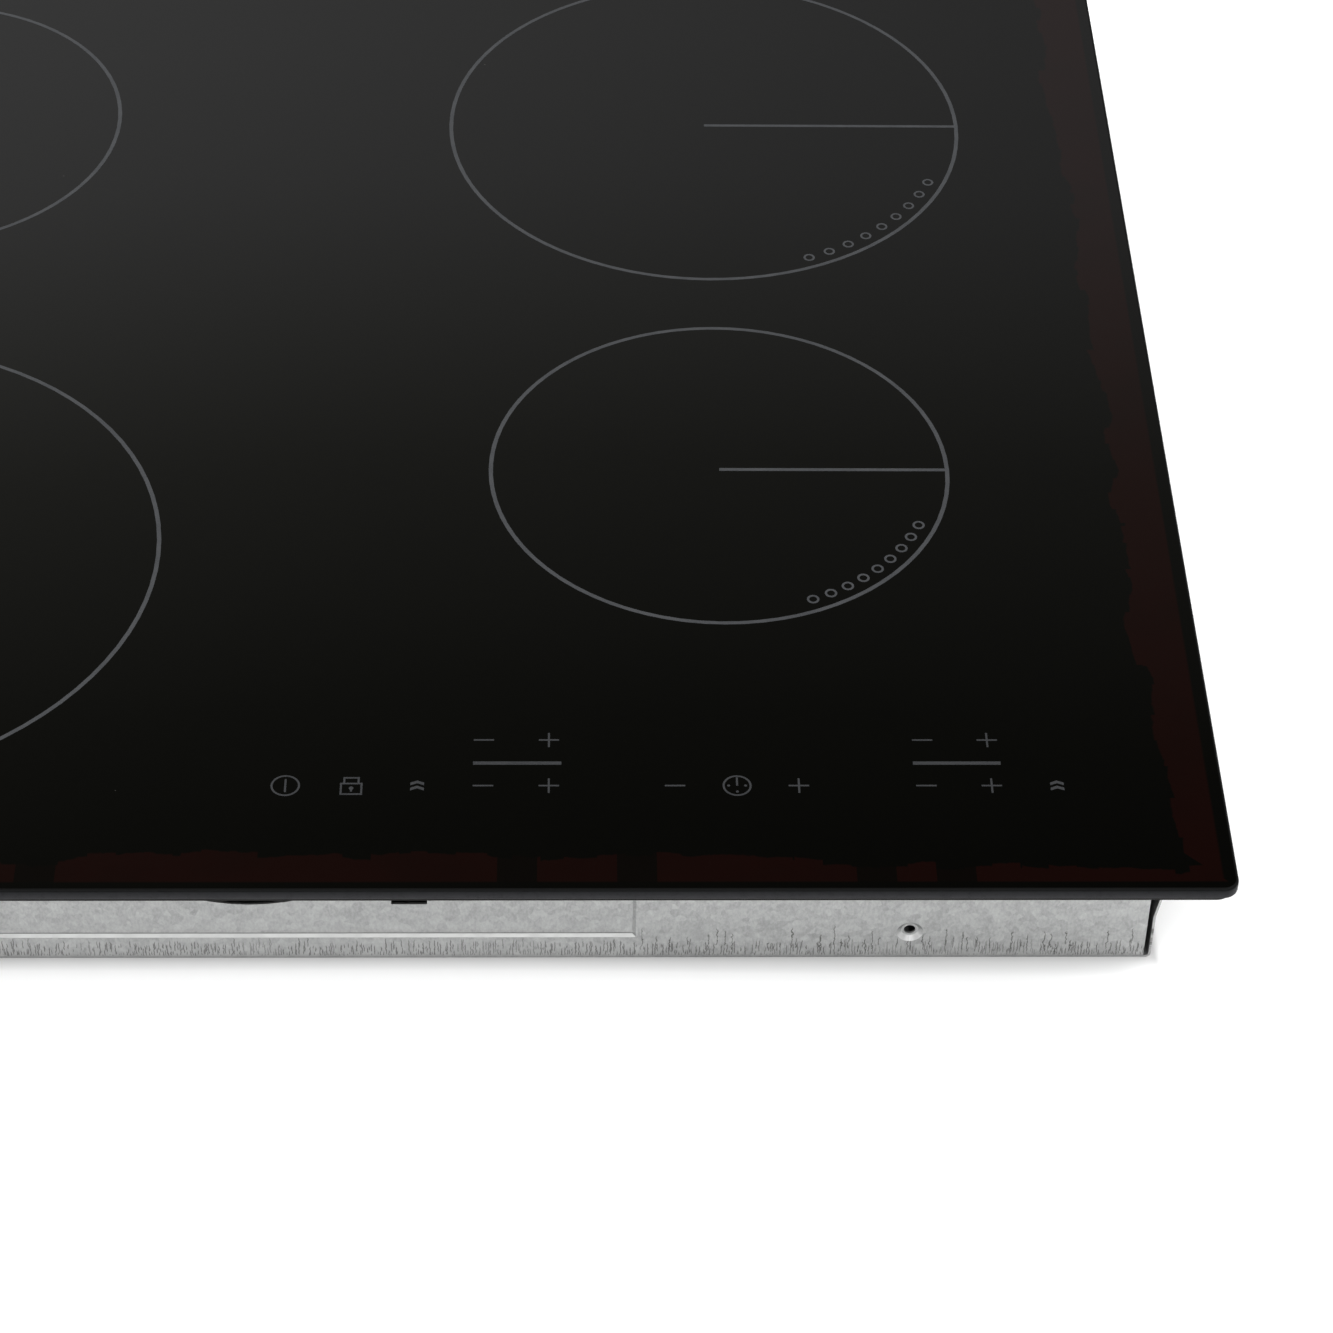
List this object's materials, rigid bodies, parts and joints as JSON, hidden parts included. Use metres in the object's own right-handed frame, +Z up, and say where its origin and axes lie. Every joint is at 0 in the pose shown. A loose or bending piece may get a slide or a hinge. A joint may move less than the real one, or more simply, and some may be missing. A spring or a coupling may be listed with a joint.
{
  "type": "electric induction cooktop",
  "caption": "Built-in induction cooktop: black glass with printed zone rings and touch keys over a shallow steel tray holding coils, fans and power electronics.",
  "frame": {"origin": "centre of the bounding box's footprint, at the underside of the tray", "axes": "+X to the right, +Y to the back, +Z up; the touch keys are at the front"},
  "size_m": [0.59, 0.52, 0.05],
  "materials": {
    "black_glass": "polished black glass-ceramic, faint red where light passes the rim",
    "grey_enamel": "fired grey print",
    "black_foam": "closed-cell foam tape",
    "black_silicone": "cured silicone bead",
    "frame_steel": "zinc coated sheet",
    "galvanised_steel": "galvanised sheet with fine spangle",
    "zinc_steel": "bright zinc plated",
    "coil_aluminium": "mill finish sheet",
    "sink_aluminium": "extruded, satin",
    "white_nylon": "natural nylon",
    "ivory_polymer": "heat resistant moulding",
    "litz_copper": "enamelled copper strands",
    "lead_sleeve": "silicone coated glass sleeve",
    "ferrite": "sintered ferrite",
    "mica": "pressed mica",
    "spring_steel": "drawn wire",
    "sensor_ceramic": "ceramic",
    "circuit_board": "green solder mask",
    "black_epoxy": "moulded epoxy",
    "film_capacitor": "boxed film and sleeved cans",
    "filter_mix": "chokes, boxed film capacitors, relay",
    "black_plastic": "moulded",
    "fan_plastic": "glass filled moulding",
    "motor_copper": "wound stator on a steel shaft",
    "grey_plastic": "moulded",
    "white_plastic": "moulded",
    "terminal_brass": "plated brass",
    "black_rubber": "soft",
    "carrier_plastic": "moulded",
    "display_plastic": "smoked lens"
  },
  "bodies": {
    "hob": {"glass_top": "black_glass", "printed_zone_rings": "grey_enamel", "printed_key_symbols": "grey_enamel", "worktop_seal": "black_foam", "glass_adhesive": "black_silicone", "glass_frame": "frame_steel", "bottom_tray": "galvanised_steel", "tray_screws": "zinc_steel", "coil_plate": "coil_aluminium", "plate_pillars": "white_nylon", "coil_former_fl": "ivory_polymer", "coil_former_fr": "ivory_polymer", "coil_former_rl": "ivory_polymer", "coil_former_rr": "ivory_polymer", "coil_winding_fl": "litz_copper", "coil_winding_fr": "litz_copper", "coil_winding_rl": "litz_copper", "coil_winding_rr": "litz_copper", "ferrite_bars_fl": "ferrite", "ferrite_bars_fr": "ferrite", "ferrite_bars_rl": "ferrite", "ferrite_bars_rr": "ferrite", "mica_disc_fl": "mica", "mica_disc_fr": "mica", "mica_disc_rl": "mica", "mica_disc_rr": "mica", "sensor_spring_fl": "spring_steel", "sensor_spring_fr": "spring_steel", "sensor_spring_rl": "spring_steel", "sensor_spring_rr": "spring_steel", "coil_leads": "lead_sleeve", "power_board_left": "circuit_board", "power_board_right": "circuit_board", "heat_sink_left": "sink_aluminium", "heat_sink_right": "sink_aluminium", "transistors": "black_epoxy", "capacitors": "film_capacitor", "fan_housing_left": "black_plastic", "fan_housing_right": "black_plastic", "fan_stator_left": "motor_copper", "fan_stator_right": "motor_copper", "filter_board": "circuit_board", "filter_parts": "filter_mix", "board_spacers": "white_nylon", "terminal_box": "grey_plastic", "terminal_block": "white_plastic", "cable_clamp": "white_plastic", "terminal_screws": "terminal_brass", "cable_bushing": "black_rubber", "ui_carrier": "carrier_plastic", "ui_board": "circuit_board", "ui_displays": "display_plastic", "touch_springs": "spring_steel"},
    "rotor_left": {"fan_rotor_left": "fan_plastic"},
    "rotor_right": {"fan_rotor_right": "fan_plastic"},
    "cover": {"terminal_cover": "grey_plastic"},
    "probe_fl": {"sensor_fl": "sensor_ceramic"},
    "probe_fr": {"sensor_fr": "sensor_ceramic"},
    "probe_rl": {"sensor_rl": "sensor_ceramic"},
    "probe_rr": {"sensor_rr": "sensor_ceramic"}
  },
  "joints": [
    {"name": "fan_left_spin", "type": "hinge", "parent": "hob", "child": "rotor_left", "pos_m": [-0.15, 0.073, 0.01], "axis": [0, 0, 1], "continuous": true},
    {"name": "fan_right_spin", "type": "hinge", "parent": "hob", "child": "rotor_right", "pos_m": [0.15, 0.073, 0.01], "axis": [0, 0, 1], "continuous": true},
    {"name": "terminal_cover_hinge", "type": "hinge", "parent": "hob", "child": "cover", "pos_m": [-0.2, 0.1681, 0.0023], "axis": [-1, 0, 0], "range_deg": [0, 95]},
    {"name": "sensor_fl_slide", "type": "slide", "parent": "hob", "child": "probe_fl", "axis": [0, 0, 1], "range_m": [-0.002, 0], "stiffness_N_per_m": 300, "springref_m": 0.002, "deforming": ["sensor_spring_fl"]},
    {"name": "sensor_fr_slide", "type": "slide", "parent": "hob", "child": "probe_fr", "axis": [0, 0, 1], "range_m": [-0.002, 0], "stiffness_N_per_m": 300, "springref_m": 0.002, "deforming": ["sensor_spring_fr"]},
    {"name": "sensor_rl_slide", "type": "slide", "parent": "hob", "child": "probe_rl", "axis": [0, 0, 1], "range_m": [-0.002, 0], "stiffness_N_per_m": 300, "springref_m": 0.002, "deforming": ["sensor_spring_rl"]},
    {"name": "sensor_rr_slide", "type": "slide", "parent": "hob", "child": "probe_rr", "axis": [0, 0, 1], "range_m": [-0.002, 0], "stiffness_N_per_m": 300, "springref_m": 0.002, "deforming": ["sensor_spring_rr"]}
  ]
}
